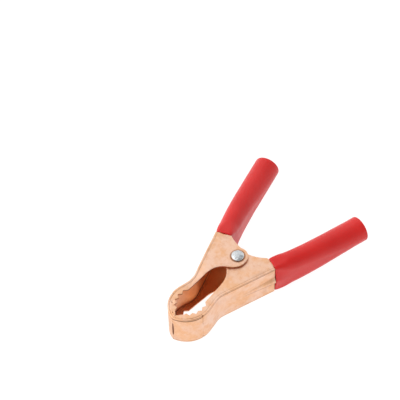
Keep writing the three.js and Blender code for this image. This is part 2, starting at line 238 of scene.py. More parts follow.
def free_edge(side):
    """The cheek's free edge, from the neck's inner corner round the lug and teeth to the tip."""
    mouth = MOUTH[side]
    lug_start, lug_end = (on_circle((0, 0), LUG_RADIUS, angle) for angle in LUG_ARC)
    corner = handle_point(side, 0, -MOUTH_WIDTH[side] / 2)
    parts = [
        [handle_point(side, NECK_END, -MOUTH_WIDTH[side] / 2)],
        quadratic(corner, THROAT_BEND, lug_start, 16),
        arc((0, 0), LUG_RADIUS, LUG_ARC[0], LUG_ARC[1], 28)[1:],
        quadratic(lug_end, LUG_BEND, mouth["back"], 14)[1:],
        quadratic(mouth["back"], mouth["bend"], mouth["side_end"], 20)[1:],
        [np.array(mouth["corner"])],
        tooth_line(side),
        [np.array((RIM_BACK_X, tip_y(side)))],
    ]
    return spaced(np.vstack(parts), EDGE_STEP)


# ---------------------------------------------------------------- meshes


def mesh_object(name, points, faces, sharp_deg=38, **shades):
    """points in millimetres; shades are numbers kept for the material, one for each point."""
    mesh = bpy.data.meshes.new(name)
    mesh.from_pydata([tuple(MM * c for c in p) for p in points], [], faces)
    for key, values in shades.items():
        attribute = mesh.attributes.new(key, "FLOAT", "POINT")
        attribute.data.foreach_set("value", np.array(values, np.float32))
    bm = bmesh.new()
    bm.from_mesh(mesh)
    bmesh.ops.remove_doubles(bm, verts=bm.verts, dist=1e-7)
    bmesh.ops.recalc_face_normals(bm, faces=bm.faces)
    bm.to_mesh(mesh)
    bm.free()
    mesh.shade_smooth()
    mesh.set_sharp_from_angle(angle=math.radians(sharp_deg))
    obj = bpy.data.objects.new(name, mesh)
    bpy.context.scene.collection.objects.link(obj)
    return obj


def weigh_normals(obj):
    modifier = obj.modifiers.new("weighted normals", "WEIGHTED_NORMAL")
    modifier.keep_sharp = True
    modifier.weight = 80
    return obj


def rings_to_faces(count, size, closed_rows=False):
    faces = []
    rows = count if closed_rows else count - 1
    for i in range(rows):
        for j in range(size):
            a, b = i * size + j, i * size + (j + 1) % size
            c, d = ((i + 1) % count) * size + (j + 1) % size, ((i + 1) % count) * size + j
            faces.append((a, b, c, d))
    return faces


def end_faces(count, size):
    """The two caps of a row of rings."""
    last = (count - 1) * size
    return [tuple(range(size)), tuple(last + k for k in reversed(range(size)))]


def ripple(points, amount, scale, shift):
    """The slight unevenness of pressed sheet or soft vinyl."""
    out = points.copy()
    for k, p in enumerate(points):
        wave = noise.noise_vector(Vector((p[0] + shift, p[1], p[2])) / scale)
        out[k] += amount * np.array(wave)
    return out


def stand_up(side, points):
    """Puts points drawn about the middle plane on the +Y side where the jaw of that side is."""
    return points * (1, side, 1) + (0, 0, MID_Z)


# ---------------------------------------------------------------- the jaws' rim, bend and web

# Half of a jaw is a lattice: stations along the web from the tip, and rows from the flat cheek down to
# the middle plane. A profile gives each row's inset from the web's outside, its height, and how dark
# the painted shade along it is, shade painted into its grooves, seam and rounded edges. The open seam
# under the nose's rim lies after SEAM_ROW.
PLATE_INSET = 1.3
WEB_INSET = 0.02
WEB_TOP = 1.5
WEB_ROWS = 17
PROFILE_ROWS = 13
GROOVE_ROW = 2
SEAM_ROW = 8
SEAM, LOWER_SEAM = 0.24, 0.04
# Inset, drop from the cheek's face, and painted shade: a groove, then the rim's rounded edge
RIM_EDGE = [
    (1.08, 0, 0), (0.94, 0.09, 0.8), (0.8, 0, 0), (0.36, 0, 0), (0.15, 0.045, 0.15),
    (0.04, 0.15, 0.25), (0, 0.32, 0), (0.04, SHEET - 0.16, 1),
]
# The same for the seam's lower lip, in shares of the gap
SEAM_LIP = [(0.8, 0, 1), (0.35, 0.25, 0.6)]
SEAM_LIP_DROP = 0.75
RIM_UNDERSIDE = (PLATE_INSET, 1.08, 0.95, 0.88, 0.6, 0.45, 0.36, 0.28, 0.2)
# Inset from the sheet's inside and drop from the seam
SEAM_INSIDE = [(-0.1, 0), (0, 0.08), (0, 0.2)]
# The bend past the nose has a fine groove on each side of it, with painted shade along each
CHEEK_GROOVE = [(1.17, 0, 0), (1.09, 0.04, 0.65), (1.01, 0, 0)]
WEB_GROOVE = [(0.0, 0.3, 0.1), (0.06, 0.45, 1), (0.06, 0.65, 0.8), (0.03, 0.95, 0)]
BEND_UNDERSIDE = (PLATE_INSET, 1.06, 0.98)
BEND_INSIDE_DROPS = (1.0, 1.1, 1.2, 1.34)
BEND_RADIUS, BEND_INSIDE_RADIUS = 0.22, 0.15

TIP_STATIONS = (0, 0.02, 0.04, 0.28)
NOSE_STATIONS, BENT_STATIONS = 26, 92
FIRST_NOSE_STATION = 0.45
TIP_ROUND = 0.04
# The jaws' webs meet flush at the tip, though their lines are a step apart
TIP_STEP, TIP_FLUSH = 0.12, 2.5
# A dent where the seam ends, and half of a lens-shaped slot in the tip
NOTCH_AT, NOTCH_HALF, NOTCH_DENT = 13.65, 0.34, 0.3
SLOT_HALF, SLOT_DEPTH, SLOT_REACH = 4.9, 0.42, 3
# The bead pressed out of the web grows from its start to the web's corner at the neck
BEAD_START_X, WEB_CORNER_X = -9.7, 5.46
BEAD_HEIGHT = 1.15
BEAD_START_HALF, BEAD_HALF_WIDTH = 0.7, 2.35
BEAD_FLATNESS = 0.85
BEAD_LINE_AT, BEAD_LINE_WIDTH = 0.9, 0.32

# How dark the painted shade is, from 0 to 1: at the notch and the line below it, at the bead's foot,
# in the lower half, and in the inside corners
NOTCH_SHADE, NOTCH_TAIL_SHADE = 0.9, 0.5
UPPER_BEAD_SHADE = 0.6
LOWER_PAINTED_SHADE = 0.3
CORNER_SHADE, CORNER_FADE_SHADE = 0.9, 0.5


def quarter_bend(corner, top, radius, steps):
    """Points round a bend from the cheek to the web, whose faces would meet at (corner, top)."""
    angles = [math.pi / 2 * (1 + k / steps) for k in range(steps + 1)]
    return [(corner + radius * (1 + math.cos(a)), top - radius * (1 - math.sin(a))) for a in angles]


def nose_profile(h, gap):
    """The flat rim and the top of the web, with the open seam between them."""
    seam = h - SHEET - gap
    outer = [(PLATE_INSET, h, 0)]
    outer += [(n, h - drop, shade) for n, drop, shade in RIM_EDGE]
    outer += [(gap * n, seam - gap * drop, shade) for n, drop, shade in SEAM_LIP]
    outer += [(WEB_INSET, seam - gap * SEAM_LIP_DROP, 0), (WEB_INSET, h - WEB_TOP, 0)]
    inner = [(n, h - SHEET) for n in RIM_UNDERSIDE]
    inner += [(SHEET + n, seam - drop) for n, drop in SEAM_INSIDE]
    inner += [(SHEET, h - WEB_TOP)]
    return outer, inner


def bend_profile(h):
    """The rounded corner between cheek and web, with a fine groove on each side of it."""
    outer = [(PLATE_INSET, h, 0)]
    outer += [(n, h - drop, shade) for n, drop, shade in CHEEK_GROOVE]
    outer += [(n, z, 0) for n, z in quarter_bend(0, h, BEND_RADIUS, 4)]
    outer += [(n, h - drop, shade) for n, drop, shade in WEB_GROOVE]
    inner = [(n, h - SHEET) for n in BEND_UNDERSIDE]
    inner += quarter_bend(SHEET, h - SHEET, BEND_INSIDE_RADIUS, 5)
    inner += [(SHEET, h - drop) for drop in BEND_INSIDE_DROPS]
    return outer, inner


def bead_size(x):
    """How grown the bead is at x, from 0 to 1, and half its width there."""
    grown = clamp((x - BEAD_START_X) / (WEB_CORNER_X - BEAD_START_X))
    return grown, lerp(BEAD_START_HALF, BEAD_HALF_WIDTH, grown)


def bead_height(x, z):
    grown, half = bead_size(x)
    if abs(z) >= half:
        return 0.0
    return BEAD_HEIGHT * grown * (0.5 + 0.5 * math.cos(math.pi * z / half)) ** BEAD_FLATNESS


def slot_depth(d, z):
    return SLOT_DEPTH * max(0, 1 - (z / SLOT_HALF) ** 2) * max(0, 1 - d / SLOT_REACH)


class Lattice:
    """The rim, bend and upper half of a jaw's web."""

    def __init__(self, side, web, gap):
        nose = np.linspace(FIRST_NOSE_STATION, NOTCH_AT - NOTCH_HALF, NOSE_STATIONS)
        bent = np.linspace(NOTCH_AT + NOTCH_HALF, web.length, BENT_STATIONS)
        self.notch = len(TIP_STATIONS) + NOSE_STATIONS
        outer_rows, inner_rows, shades = [], [], []
        for i, d in enumerate(np.r_[TIP_STATIONS, nose, NOTCH_AT, bent]):
            h = half_height(side, web.point(d)[0])
            outer, inner = nose_profile(h, gap) if i <= self.notch else bend_profile(h)
            web_z = [lerp(h - WEB_TOP, 0, k / WEB_ROWS) for k in range(1, WEB_ROWS + 1)]
            outer += [(WEB_INSET, z, 0) for z in web_z]
            inner += [(SHEET, z) for z in web_z]
            dent = NOTCH_DENT if i == self.notch else 0
            outer_rows.append(self.placed(side, web, d, [(n, z) for n, z, _ in outer], True, dent))
            inner_rows.append(self.placed(side, web, d, inner, False))
            shades.append([shade for _, _, shade in outer])
        self.outer, self.inner, self.shades = (np.array(v) for v in (outer_rows, inner_rows, shades))
        self.stations, self.rows = self.shades.shape

    @staticmethod
    def placed(side, web, d, profile, is_outer, dent=0.0):
        """A profile's points at length d, with the bead, the slot and the tip's rounding."""
        x = web.point(d)[0]
        short = max(TIP_ROUND - d, 0)
        rounding = TIP_ROUND - math.sqrt(TIP_ROUND ** 2 - short ** 2)
        flush = side * TIP_STEP * max(0, 1 - d / TIP_FLUSH)
        points = []
        for k, (n, z) in enumerate(profile):
            in_web = k > SEAM_ROW
            if GROOVE_ROW <= k < PROFILE_ROWS:
                n += dent
            if in_web:
                n -= bead_height(x, z)
            if short > 0 and is_outer:
                n = max(n, rounding)
            elif short > 0 and in_web:
                n = min(n, SHEET - rounding * 0.5)
            p = web.place(d + (slot_depth(d, z) if in_web else 0), n + flush)
            points.append((p[0], p[1], z))
        return points

    def points(self):
        return np.vstack([self.outer.reshape(-1, 3), self.inner.reshape(-1, 3)])

    def outer_id(self, i, k):
        return i * self.rows + k

    def inner_id(self, i, k):
        return self.stations * self.rows + i * self.rows + k

    def is_solid(self, i, k):
        """Whether there is sheet between stations i and i + 1 and rows k and k + 1."""
        if i < 0 or i >= self.stations - 1:
            return False
        return i > self.notch or k != SEAM_ROW

    def faces(self):
        """All faces, and apart from them the ends that the cheek's edge meets, by station."""
        out, inn = self.outer_id, self.inner_id
        faces, end_caps = [], []
        for i in range(self.stations - 1):
            for k in range(self.rows - 1):
                if not self.is_solid(i, k):
                    continue
                faces.append((out(i, k), out(i, k + 1), out(i + 1, k + 1), out(i + 1, k)))
                faces.append((inn(i, k), inn(i + 1, k), inn(i + 1, k + 1), inn(i, k + 1)))
                if k > 0 and not self.is_solid(i, k - 1):
                    faces.append((out(i, k), out(i + 1, k), inn(i + 1, k), inn(i, k)))
                if k < self.rows - 2 and not self.is_solid(i, k + 1):
                    faces.append((out(i, k + 1), inn(i, k + 1), inn(i + 1, k + 1), out(i + 1, k + 1)))
                for at, beside in ((i, i - 1), (i + 1, i + 1)):
                    if self.is_solid(beside, k):
                        continue
                    cap = [out(at, k), inn(at, k), inn(at, k + 1), out(at, k + 1)]
                    if k == 0 and at in (0, self.stations - 1):
                        end_caps.append((at, cap))
                    else:
                        faces.append(tuple(cap))
        return faces, end_caps

    def bead_lines(self):
        """How near each outer point is to the painted shade line along the foot of the bead."""
        line = np.zeros((self.stations, self.rows))
        for i, row in enumerate(self.outer):
            for k in range(SEAM_ROW + 1, self.rows):
                x, _, z = row[k]
                grown, half = bead_size(x)
                if grown > 0:
                    off = (abs(z) - half * BEAD_LINE_AT) / BEAD_LINE_WIDTH
                    line[i, k] = grown ** 0.5 * math.exp(-off ** 2)
        return line

    def creases(self):
        """How dark each point's painted shade is in the upper half, and in the lower half."""
        crease = self.shades.astype(float)
        tail = slice(PROFILE_ROWS - 1, PROFILE_ROWS + 1 + WEB_ROWS * 2 // 3)
        crease[self.notch, tail] = NOTCH_TAIL_SHADE
        crease[self.notch, GROOVE_ROW:PROFILE_ROWS - 1] = NOTCH_SHADE
        crease[self.notch - 1:self.notch + 2, SEAM_ROW - 2:SEAM_ROW + 2] = NOTCH_SHADE
        # The lower half's outside gets a fainter copy of the painted shade
        faint = LOWER_PAINTED_SHADE * crease
        # Painted shade in the inside corners of the lower half, round the seam and the bend
        corner = np.zeros_like(crease)
        corner[:, SEAM_ROW - 2:PROFILE_ROWS + 1] = CORNER_SHADE
        corner[:, PROFILE_ROWS + 1] = CORNER_FADE_SHADE
        # The slot in the tip is painted dark as shade
        slot = [k for k in range(PROFILE_ROWS, self.rows) if self.outer[0, k, 2] < SLOT_HALF * 0.85]
        for shades in (crease, faint, corner):
            shades[:3, slot] = 1
        line = self.bead_lines()
        upper = [np.maximum(crease, UPPER_BEAD_SHADE * line), crease]
        lower = [np.maximum(faint, line), corner]
        return [list(np.concatenate([shades.ravel() for shades in half])) for half in (upper, lower)]


# ---------------------------------------------------------------- the jaws' flat cheeks

# Inset and depth of the free edge's bevelled profile, and for its middle points the share of painted
# interreflection and of painted shade
EDGE_BEVEL = 0.12
EDGE_PROFILE = [
    (EDGE_BEVEL, 0), (0.3 * EDGE_BEVEL, 0.3 * EDGE_BEVEL), (0, EDGE_BEVEL),
    (0, SHEET - EDGE_BEVEL), (EDGE_BEVEL, SHEET),
]
EDGE_WITHIN = (0.0, 0.1, 0.6)
EDGE_PAINTED_SHADE = (0.0, 0.25, 0.5)
MITRE_LIMIT = 0.35
# Points over the flat cheek lie in rows this far apart, clear of the edges and of the spots' points
PLATE_STEP, PLATE_ROW_STEP = 1.0, 0.87
EDGE_CLEARANCE, SPOT_CLEARANCE = 0.55, 0.5
HOLE_POINTS = 32
# Ring dimples in the rim: x, y, radius and depth
SPOTS = {
    OUTER: [(-39.6, 2.1, 0.42, 0.3), (-35.9, 5.95, 0.5, 0.3)],
    INNER: [(-32.6, 8.0, 0.4, 0.22)],
}
SPOT_RINGS = ((0.45, 6), (0.95, 10))
# Painted shade in the dimples' pits, as a multiple of their depth
SPOT_SHADE = 3
# Circles round the rivet on which its painted shadow is drawn, and the width of its fading edge
RIVET_SHADOW_RADII = (2.45, 2.9, 3.3, 3.7)
RIVET_SHADOW_FADE = 0.5
# Where along X the painted interreflection and the extra roughness inside the nose fade in, so that
# they are least at the tip, where light comes in through the mouth
INSIDE_FADE = (-35, -23)
INSIDE_FADE_LEAST = 0.1
TUCK_LENGTH, TUCK_SLACK = 0.4, 0.05
SLEEVE_SLACK = 0.12


def inward(points):
    """Mitred normals of an open line, pointing to its left, at every point but the two ends."""
    out = np.zeros_like(points)
    for k in range(1, len(points) - 1):
        a = points[k] - points[k - 1]
        b = points[k + 1] - points[k]
        na = np.array((-a[1], a[0])) / np.linalg.norm(a)
        nb = np.array((-b[1], b[0])) / np.linalg.norm(b)
        out[k] = (na + nb) / max(1 + na @ nb, MITRE_LIMIT)
    return out


def inside(polygon, p):
    x, y = p
    hit = False
    for (x0, y0), (x1, y1) in zip(polygon, np.roll(polygon, -1, axis=0)):
        if (y0 > y) != (y1 > y) and x < (x1 - x0) * (y - y0) / (y1 - y0) + x0:
            hit = not hit
    return hit


def plate_points(loop, spots):
    """The spots' own points, then rows of points over the rest of the plate inside loop."""
    low, high = loop.min(0), loop.max(0)
    ring = spaced(np.vstack([loop, loop[:1]]), 0.5)
    points = [np.array(p, float) for p in spots]
    row = 0
    y = low[1]
    while y < high[1]:
        x = low[0] + (PLATE_STEP / 2 if row % 2 else 0)
        while x < high[0]:
            p = np.array((x, y))
            to_hole = np.linalg.norm(p) - HOLE_RADIUS
            to_edge = min(np.linalg.norm(ring - p, axis=1).min(), to_hole)
            if to_edge > EDGE_CLEARANCE and inside(loop, p):
                if all(np.linalg.norm(q - p) > SPOT_CLEARANCE for q in points[: len(spots)]):
                    points.append(p)
            x += PLATE_STEP
        y += PLATE_STEP * PLATE_ROW_STEP
        row += 1
    return np.array(points)


def fill_plate(loop, hole, filled):
    """Triangles over the plate inside loop and outside hole, as places in loop, hole and filled."""
    points = [Vector(p) for p in np.vstack([loop, hole, filled])]
    edges = []
    for start, count in ((0, len(loop)), (len(loop), len(hole))):
        edges += [(start + k, start + (k + 1) % count) for k in range(count)]
    made, _, triangles, origin = geometry.delaunay_2d_cdt(points, edges, [], 0, 1e-6)[:4]
    kept = []
    for triangle in triangles:
        middle = sum((np.array(made[v]) for v in triangle), np.zeros(2)) / 3
        if np.linalg.norm(middle) > HOLE_RADIUS * 0.97 and inside(loop, middle):
            kept.append(tuple(origin[v][0] for v in triangle))
    return kept


def spot_points(side, loop):
    points = []
    for x, y, radius, _ in SPOTS[side]:
        points.append((x, y))
        for share, count in SPOT_RINGS:
            points += [p for p in circle((x, y), share * radius, count) if inside(loop, p)]
    if side == OUTER:
        for radius in RIVET_SHADOW_RADII:
            points += list(circle((0, 0), radius, HOLE_POINTS))
    return points


def dimple(side, p):
    """How deep the spots dent the rim at p: a pit with a low ring round it."""
    depth = 0.0
    for x, y, radius, deep in SPOTS[side]:
        d = math.hypot(p[0] - x, p[1] - y) / radius
        depth += deep * math.exp(-(d ** 2) * 2.2) - 0.25 * deep * math.exp(-((d - 1.5) ** 2) * 5)
    return depth


class Shell:
    """A jaw's upper half. within is 1 on the sheet's inside, where a redder painted interreflection
    goes, and the painted shade darkens its lines.
    """

    def __init__(self, side):
        self.side = side
        self.web = WebLine(side)
        self.lattice = Lattice(side, self.web, SEAM)
        upper, self.lower_crease = self.lattice.creases()
        self.points = [tuple(p) for p in self.lattice.points()]
        self.lattice_size = len(self.points)
        self.crease = upper
        self.within = [0.0] * (self.lattice_size // 2) + [1.0] * (self.lattice_size // 2)
        self.faces, end_caps = self.lattice.faces()
        columns = self.add_edge(end_caps)
        self.add_plates(columns)

    def add(self, point, within, crease=0.0):
        self.points.append(tuple(point))
        self.within.append(within)
        self.crease.append(crease)
        return len(self.points) - 1

    def add_edge(self, end_caps):
        """The cheek's free edge: at each of its points, a column of points down through the sheet."""
        lattice = self.lattice
        rim = lattice.outer[:, 0, :2]
        edge = free_edge(self.side)
        neck = spaced(np.array([rim[-1], edge[0]]), EDGE_STEP)
        edge = np.vstack([neck, edge[1:], rim[:1]])
        # The material is on the left of rim run backwards, so on the right of edge
        mitre = -inward(edge)
        end_stations = {0: lattice.stations - 1, len(edge) - 1: 0}
        columns = []
        for k, p in enumerate(edge):
            h = half_height(self.side, p[0])
            column = [(*(p + inset * mitre[k]), h - depth) for inset, depth in EDGE_PROFILE]
            if k in end_stations:
                station = end_stations[k]
                top, bottom = lattice.outer_id(station, 0), lattice.inner_id(station, 0)
            else:
                top, bottom = self.add(column[0], 0.0), self.add(column[-1], 1.0)
            middle = [self.add(*values) for values in zip(column[1:-1], EDGE_WITHIN, EDGE_PAINTED_SHADE)]
            columns.append([top, *middle, bottom])
        for a, b in zip(columns[:-1], columns[1:]):
            for m in range(len(EDGE_PROFILE) - 1):
                self.faces.append((a[m], a[m + 1], b[m + 1], b[m]))
        for station, cap in end_caps:
            column = columns[0] if station else columns[-1]
            self.faces.append((cap[0], *column[1:-1], *cap[1:]))
        return columns

    def add_plates(self, columns):
        """The flat cheek's outside and inside, and the rivet's hole through it."""
        lattice = self.lattice
        outside = [lattice.outer_id(i, 0) for i in range(lattice.stations)]
        outside += [column[0] for column in columns[1:-1]]
        under = [lattice.inner_id(i, 0) for i in range(lattice.stations)]
        under += [column[-1] for column in columns[1:-1]]
        loop = np.array([self.points[v][:2] for v in outside])
        hole = circle((0, 0), HOLE_RADIUS, HOLE_POINTS)
        filled = plate_points(loop, spot_points(self.side, loop))
        new_points = np.vstack([hole, filled])
        for p in new_points:
            dent = dimple(self.side, p)
            # Painted shade in the dimples' pits, and the painted shadow round the rivet
            shade = max(clamp(dent * SPOT_SHADE), self.stain_and_painted_shadow(p))
            outside.append(self.add((*p, half_height(self.side, p[0]) - dent), 0.0, shade))
        for p in new_points:
            # The painted shadow round the rivet on the cheek's underside as well
            under.append(self.add((*p, half_height(self.side, p[0]) - SHEET), 1.0, self.stain_and_painted_shadow(p)))
        for a, b, c in fill_plate(loop, hole, filled):
            self.faces.append((outside[a], outside[b], outside[c]))
            self.faces.append((under[a], under[c], under[b]))
        for k in range(HOLE_POINTS):
            a, b = len(loop) + k, len(loop) + (k + 1) % HOLE_POINTS
            self.faces.append((outside[a], outside[b], under[b], under[a]))

    # Painted shadow in a ring round the rivet's head, on the outer jaw only
    def stain_and_painted_shadow(self, p):
        if self.side == INNER:
            return 0.0
        return clamp((RIVET_SHADOW_RADII[-1] - math.hypot(*p)) / RIVET_SHADOW_FADE)

    def upper_and_lower(self):
        """The points of both halves. The lower one has its own, narrower seam."""
        upper = np.array(self.points)
        lower = upper.copy()
        lower[:self.lattice_size] = Lattice(self.side, self.web, LOWER_SEAM).points()
        return tuck_neck(self.side, upper), tuck_neck(self.side, lower) * (1, 1, -1)


def tuck_neck(side, points):
    """Draws the metal in towards the handle's axis where it goes under the sleeve's lip."""
    heading = HANDLE_HEADINGS[0]
    along = np.array((math.cos(heading), math.sin(heading)))
    across = np.array((-along[1], along[0]))
    start = np.array(HANDLE_START[side])
    low_neck = min(MOUTH_HEIGHT[side] / 2 - LIP - SLEEVE_SLACK, PIVOT_HALF[side])
    moved = points.copy()
    for k, p in enumerate(points):
        s = (p[:2] - start) @ along
        tuck = smooth((s + TUCK_LENGTH) / TUCK_LENGTH)
        if tuck <= 0:
            continue
        u = (p[:2] - start) @ across
        u_scale = 1 - tuck * (LIP + TUCK_SLACK) / (MOUTH_WIDTH[side] / 2)
        moved[k, :2] = start + s * along + u * u_scale * across
        moved[k, 2] = p[2] * lerp(1, low_neck / PIVOT_HALF[side], tuck)
    return moved


def make_jaw(side):
    shell = Shell(side)
    upper, lower = shell.upper_and_lower()
    tube, tube_faces = handle_tube(side)
    half, both = len(upper), 2 * len(upper)
    faces = shell.faces + [tuple(v + half for v in reversed(face)) for face in shell.faces]
    faces += [tuple(v + both for v in face) for face in tube_faces]
    points = ripple(np.vstack([upper, lower, tube]), 0.035, 7.0, 93 * side)

    # Painted shade for the lower half: its lattice's own, then a fainter copy of the upper half's for
    # the rest
    lower_crease = shell.lower_crease
    lower_crease += [LOWER_PAINTED_SHADE * c for c in shell.crease[shell.lattice_size:]]
    # Less painted interreflection, and less extra roughness, towards the tip of the nose
    inside_fade = [clamp((x - INSIDE_FADE[0]) / (INSIDE_FADE[1] - INSIDE_FADE[0]), INSIDE_FADE_LEAST) for x in lower[:, 0]]
    within = [w * g for w, g in zip(shell.within, inside_fade)]
    obj = mesh_object(
        NAMES[side] + "_metal", stand_up(side, points), faces,
        crease=shell.crease + lower_crease + [0.0] * len(tube),
        within=within + within + [0.5] * len(tube),
    )
    return weigh_normals(obj)


# ---------------------------------------------------------------- handles and sleeves

ARC_STEPS, WIDE_STEPS, TALL_STEPS = 9, 4, 16
TAPER_EASE = 0.35
# The sleeve is lifted over the web's bead near its mouth, up to these distances above and below the
# bead's middle, outside and inside
BULGE_OUTSIDE, BULGE_INSIDE = 5.8, 4.0
BULGE_LENGTH = 9.0
BULGE_SHOULDER = 1.25
SLEEVE_STATIONS = (1.0, 2.0, 3.2, 4.5, 6.0, 7.5, 9.0, 11.0, 13.5)
LONG_STEP_FROM, LONG_STEP = 16, 2.2
# Distance from the mouth and inset from the outside
MOUTH_ROUNDING = [(0.0, 0.3), (0.04, 0.14), (0.13, 0.04), (0.35, 0.0)]
LIP_ROUNDING = [(0.2, LIP - 0.02), (0.05, LIP - 0.08)]
END_ROUND, END_STEPS = 0.42, 5
BORE_CHAMFER, BORE_CHAMFER_LENGTH = 0.12, 0.25
TUBE_STATIONS = (0.4, 2, 4, 6, 8, 12, 17, 22, 27, 33, 38, 43)
TUBE_SHORT_OF_END = 5.0
# The tube's open side, in shares of its width from its centreline
TUBE_OPENING = -0.22
TUBE_POINTS = 60


def sleeve_section(s, side):
    """The sleeve's width, height and corner radius at s along the handle."""
    shoulder = clamp(s / SHOULDER)
    taper = clamp((s - SHOULDER) / (TAPER_END - SHOULDER))
    rise = 1 - (1 - shoulder) ** 2
    eased = lerp(taper, smooth(taper), TAPER_EASE)
    width = lerp(lerp(MOUTH_WIDTH[side], SHOULDER_WIDTH, rise), SLEEVE_DIAMETER, eased)
    height = lerp(lerp(MOUTH_HEIGHT[side], SHOULDER_HEIGHT, smooth(shoulder)), SLEEVE_DIAMETER, eased)
    return width, height, lerp(MOUTH_CORNER, width / 2, shoulder)


def outline(width, height, radius):
    """A rounded rectangle's (offset, z) points, starting at the web side's middle."""
    r = clamp(radius, 0.12, min(width, height) / 2 - 0.02)
    u, z = width / 2 - r, height / 2 - r
    half_tall = TALL_STEPS // 2
    points = [(width / 2, lerp(0, z, k / half_tall)) for k in range(half_tall)]
    for quarter, (cu, cz) in enumerate(((u, z), (-u, z), (-u, -z), (u, -z))):
        for k in range(ARC_STEPS + 1):
            angle = (quarter + k / ARC_STEPS) * math.pi / 2
            points.append((cu + r * math.cos(angle), cz + r * math.sin(angle)))
        if quarter in (0, 2):
            sign = 1 if quarter == 0 else -1
            for k in range(1, WIDE_STEPS):
                points.append((lerp(sign * u, -sign * u, k / WIDE_STEPS), sign * height / 2))
        elif quarter == 1:
            points += [(-width / 2, lerp(z, -z, k / TALL_STEPS)) for k in range(1, TALL_STEPS)]
    points += [(width / 2, lerp(-z, 0, k / half_tall)) for k in range(1, half_tall)]
    return points


def over_bead(s, u, z, width, reach_z):
    """How far the sleeve stands out over the web's bead near its mouth."""
    if u < width * 0.3:
        return 0.0
    reach = (1 - clamp(s / BULGE_LENGTH)) ** 2
    return BEAD_HEIGHT * reach * max(0, 1 - (abs(z) / reach_z) ** BULGE_SHOULDER)


def section_ring(side, s, inset):
    width, height, radius = sleeve_section(s, side)
    bulge_z = lerp(BULGE_OUTSIDE, BULGE_INSIDE, clamp(inset / LIP))
    ring = []
    for u, z in outline(width - 2 * inset, height - 2 * inset, radius - inset):
        p = handle_point(side, s, u + over_bead(s, u, z, width, bulge_z))
        ring.append((p[0], p[1], z))
    return ring


def wall_at(s):
    return lerp(LIP, WALL, clamp(s / SHOULDER))


def make_sleeve(side):
    length = handle_length(side)
    body = [*SLEEVE_STATIONS, *np.arange(LONG_STEP_FROM, length - 2, LONG_STEP)]
    path = MOUTH_ROUNDING + [(s, 0.0) for s in body]
    for k in range(END_STEPS + 1):
        angle = k / END_STEPS * math.pi / 2
        path.append((length - END_ROUND * (1 - math.sin(angle)), END_ROUND * (1 - math.cos(angle))))
    path += [(length, WALL - BORE_CHAMFER), (length - BORE_CHAMFER_LENGTH, WALL)]
    path += [(s, wall_at(s)) for s in reversed(body)]
    path += LIP_ROUNDING
    rings = [section_ring(side, s, inset) for s, inset in path]
    points = ripple(np.array(rings).reshape(-1, 3), 0.05, 6.0, 50 * side)
    faces = rings_to_faces(len(rings), len(rings[0]), closed_rows=True)
    return mesh_object(NAMES[side] + "_sleeve_skin", stand_up(side, points), faces, sharp_deg=70)


def resampled(ring, count):
    """The ring's outer and inner halves, each with half of count points evenly spaced."""
    ring = np.array(ring)
    half = len(ring) // 2
    out = []
    for part in (ring[:half], ring[half:]):
        steps = np.r_[0, np.cumsum(np.linalg.norm(np.diff(part, axis=0), axis=1))]
        at = np.linspace(0, steps[-1], count // 2)
        out.append(np.array([np.interp(at, steps, part[:, c]) for c in range(3)]).T)
    return np.vstack(out)


def handle_tube(side):
    """The jaw's metal inside the sleeve: an open-sided tube that follows the sleeve's bore."""
    rings = []
    for s in (*TUBE_STATIONS, handle_length(side) - TUBE_SHORT_OF_END):
        width, height, radius = sleeve_section(s, side)
        outside = wall_at(s) + SLEEVE_SLACK
        ring = []
        for inset, order in ((outside, 1), (outside + SHEET, -1)):
            path = outline(width - 2 * inset, height - 2 * inset, max(radius - inset, 0.2))
            # The side towards the other handle stays open
            path = [q for q in path if q[0] > width * TUBE_OPENING]
            start = next(k for k in range(len(path)) if path[k][1] < 0 and path[k - 1][1] > 0)
            path = path[start:] + path[:start]
            ring += path[::order]
        ring = [(*handle_point(side, s, u), z) for u, z in ring]
        rings.append(resampled(ring, TUBE_POINTS))
    faces = rings_to_faces(len(rings), TUBE_POINTS) + end_faces(len(rings), TUBE_POINTS)
    return np.array(rings).reshape(-1, 3), faces


# ---------------------------------------------------------------- rivet and spring

TAIL_HEIGHT, TAIL_RADIUS, TAIL_FLAT = 0.6, 2.6, 2.1
SHANK_RADIUS = 1.9
HEAD_RADIUS, HEAD_RIM, HEAD_CROWN = 2.85, 0.3, 0.85
HEAD_SEAT = 19.7
HEAD_CHAMFER = (0.12, 0.1)
HEAD_STEPS, HEAD_FULLNESS = 14, 0.8
RIVET_SIDES = 64
# The head is hammered from here up: the heights of its broad and fine unevenness, and its mean drop
HAMMERED_FROM = HEAD_SEAT + 0.2
HAMMER_BROAD, HAMMER_FINE, HAMMER_DROP = 0.09, 0.03, 0.06
HAMMER_SPREAD = 0.012

WIRE_RADIUS, COIL_RADIUS, COIL_PITCH = 0.9, 3.9, 1.95
COIL_TURNS = 5
LEG_HEADING = math.radians(43)
LEG_LENGTH = 20.4
LEG_POINTS, COIL_POINTS, WIRE_SIDES = 14, 200, 14
WIRE_END_SHARE = 0.8


def rivet_profile():
    profile = [(0.0, 0.0), (0.9, 0.0), (TAIL_FLAT, 0.0), (2.38, 0.06), (TAIL_RADIUS, 0.26)]
    profile += [(TAIL_RADIUS, 0.45), (2.5, TAIL_HEIGHT), (SHANK_RADIUS, TAIL_HEIGHT)]
    profile += [(SHANK_RADIUS, z) for z in np.linspace(2, 18, 6)]
    profile += [(SHANK_RADIUS, HEAD_SEAT), (HEAD_RADIUS - HEAD_CHAMFER[0], HEAD_SEAT)]
    profile += [(HEAD_RADIUS, HEAD_SEAT + HEAD_CHAMFER[1])]
    dome = HEAD_SEAT + HEAD_RIM
    for k in range(HEAD_STEPS):
        angle = k / HEAD_STEPS * math.pi / 2
        radius = HEAD_RADIUS * math.cos(angle) ** HEAD_FULLNESS
        profile.append((radius, dome + HEAD_CROWN * math.sin(angle)))
    profile.append((0.0, dome + HEAD_CROWN))
    return profile


